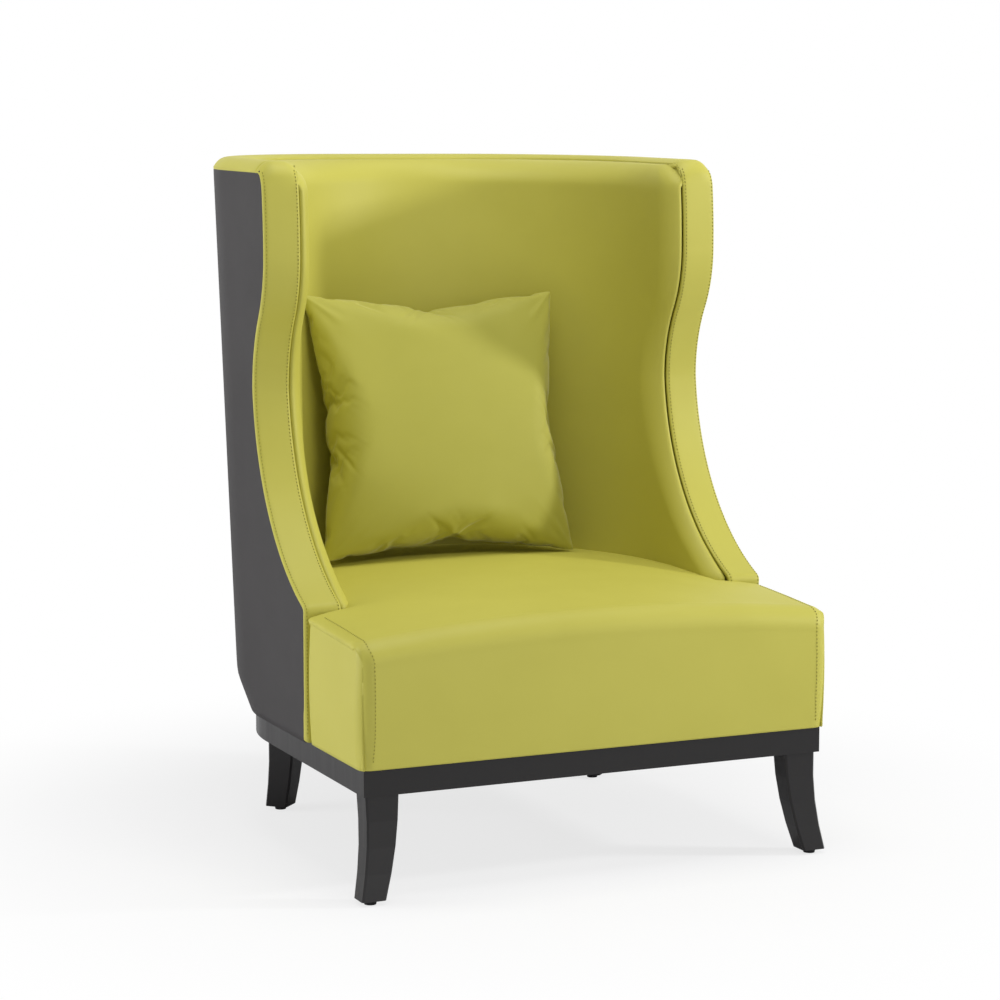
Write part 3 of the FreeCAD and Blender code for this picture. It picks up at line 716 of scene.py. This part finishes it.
def facing(piece, outward):
    """Turns a piece's faces over where on the whole they don't look along outward."""
    mesh = piece.data
    normals = np.zeros(len(mesh.polygons) * 3)
    mesh.polygons.foreach_get("normal", normals)
    if np.dot(normals.reshape(-1, 3).mean(0), outward) < 0:
        mesh.flip_normals()
    return piece


# The chair's covers

lining = facing(grid_mesh("lining", lining_skin()), (0, -1, 0))
dress(thicken(lining), "chair", "lime_leather", "inner_cover", "acoustic_foam")
outer = facing(grid_mesh("shell_cover", outer_cover_skin()), (0, 1, 0))
dress(thicken(outer, 0.0018), "chair", "charcoal_leather", "outer_cover", "outer_wadding")
for name, skin, node, look in (
    ("left_border", left_border_skin, "left_wing_border", (0, -1, 0)),
    ("right_border", right_border_skin, "right_wing_border", (0, -1, 0)),
    ("top_border", top_skin, "top_band", (0, 0, 1)),
):
    strip = facing(grid_mesh(name, skin), look)
    dress(thicken(strip), "chair", "lime_leather", node)

seat = facing(grid_mesh("seat_panel", seat_panel()), (0, -0.3, 1))
dress(thicken(seat), "chair", "lime_leather", "seat_cover", "seat_foam")
for side, name in ((-1, "left"), (1, "right")):
    panel = facing(grid_mesh(name + "_side_panel", seat_side(side)), (side, 0, 0))
    dress(thicken(panel), "chair", "lime_leather", name + "_seat_side_panel")

# Stitch rows beside the seams, each along one column of the skin it is sewn through
border_columns = {"outer": 5, "inner": 21}
seat_columns = {"left": 9, "right": 131}
rows = []
for name, skin in (("left", left_border_skin), ("right", right_border_skin)):
    normal = surface_normals(skin)
    normal = normal * -np.sign(normal[100, 12, 1])
    for place, column in border_columns.items():
        rows.append(stitch_row(name + "_border_" + place + "_stitches", skin[2:-6, column], normal[2:-6, column]))
seat_skin = seat_panel()
seat_normal = surface_normals(seat_skin)
seat_normal = seat_normal * np.sign(seat_normal[220, 70, 2])
ear_rows = int((seat_profile[:, 0] < ear_stitch_y).sum())
for name, column in seat_columns.items():
    rows.append(stitch_row("seat_" + name + "_stitches", seat_skin[3:ear_rows, column],
                           seat_normal[3:ear_rows, column]))
# The stitch rows get the darker thread, whose darkness is partly painted shade of the stitch line.
for row in rows:
    dress(row, "chair", "lime_leather", finish=thread_darkened_for_shade)

# The pillow
pillow = flat_pillow()
applied(pillow)
fill_pillow(pillow)
lay_pillow(pillow)
smooth = pillow.modifiers.new("smooth", "SUBSURF")
smooth.levels = 1
smooth.render_levels = 1
dress(pillow, "pillow", "lime_cloth", "pillow_cover", "pillow_insert")


# Floor, light and camera

def studio_floor():
    """A pale floor that keeps the chair's shadow near it and runs out into white further away."""
    made = Finish("floor", Specular_IOR_Level=0.0, Roughness=1.0)
    made.shader.inputs["Base Color"].default_value = (0.97, 0.97, 0.98, 1)
    far = made.node("ShaderNodeVectorMath", {"operation": "LENGTH"}, Vector=made.place).outputs["Value"]
    fade = made.node("ShaderNodeMapRange", {"interpolation_type": "SMOOTHSTEP"}, Value=far, From_Min=0.5,
                     From_Max=1.3, To_Min=0.75, To_Max=1.0).outputs["Result"]
    seen = Value(made.tree, made.node("ShaderNodeLightPath").outputs["Is Camera Ray"])
    white = made.node("ShaderNodeEmission", Strength=1.0)
    mix = made.node("ShaderNodeMixShader")
    made.feed(mix.inputs[0], seen * Value(made.tree, fade))
    made.tree.links.new(made.shader.outputs[0], mix.inputs[1])
    made.tree.links.new(white.outputs[0], mix.inputs[2])
    made.tree.links.new(mix.outputs[0], made.tree.nodes["Material Output"].inputs["Surface"])
    return made.material


floor = grid_mesh("floor", np.stack(np.meshgrid([-9.0, 9.0], [-9.0, 9.0], [0.0], indexing="ij"), axis=-1)[:, :, 0])
floor.data.materials.append(studio_floor())

world = bpy.data.worlds.new("studio")
bpy.context.scene.world = world
world.use_nodes = True
sky = world.node_tree
path = sky.nodes.new("ShaderNodeLightPath")
seen = Value(sky, path.outputs["Is Camera Ray"])
seen = seen.at_least(Value(sky, path.outputs["Is Glossy Ray"]))
seen = seen.at_least(Value(sky, path.outputs["Is Transmission Ray"]))
background = sky.nodes["Background"]
background.inputs["Color"].default_value = (1, 1, 1, 1)
sky.links.new((seen * 0.77 + 0.23).socket, background.inputs["Strength"])


def softbox(name, place, aim, size, power):
    """A square area light of the given size, turned to its aim."""
    lamp = bpy.data.lights.new(name, "AREA")
    lamp.shape = "RECTANGLE"
    lamp.size, lamp.size_y = size
    lamp.energy = power
    light = bpy.data.objects.new(name, lamp)
    bpy.context.scene.collection.objects.link(light)
    light.location = place
    light.rotation_euler = (mathutils.Vector(aim) - mathutils.Vector(place)).to_track_quat("-Z", "Y").to_euler()
    return light


# The key comes over the right wall's top and throws the straight shadow on the lining
softbox("key", (3.12, -1.66, 1.75), (0.0, 0.0, 0.8), (0.34, 0.34), 60)
softbox("overhead", (0.0, -0.5, 3.4), (0.0, 0.0, 0.5), (2.2, 1.8), 46)
softbox("left_fill", (-3.1, 0.8, 0.8), (0.0, -0.1, 0.5), (1.6, 1.2), 46)
softbox("front_fill", (0.6, -3.6, 1.0), (0.0, 0.0, 0.5), (1.6, 1.2), 14)

# The camera stands to the sitter's right, a little above the chair's top, and looks slightly down
camera_place = (-1.9478, -4.4055, 1.1786)
azimuth, elevation = math.radians(-24.169), math.radians(7.277)
back = mathutils.Vector((
    math.sin(azimuth) * math.cos(elevation),
    -math.cos(azimuth) * math.cos(elevation),
    math.sin(elevation),
))
lens = bpy.data.cameras.new("camera")
lens.lens = 100.32
lens.sensor_width = 36.0
camera = bpy.data.objects.new("camera", lens)
bpy.context.scene.collection.objects.link(camera)
camera.location = camera_place
camera.rotation_euler = back.to_track_quat("Z", "Y").to_euler()
bpy.context.scene.camera = camera
bpy.context.scene.view_settings.view_transform = "Standard"

bpy.context.view_layer.update()
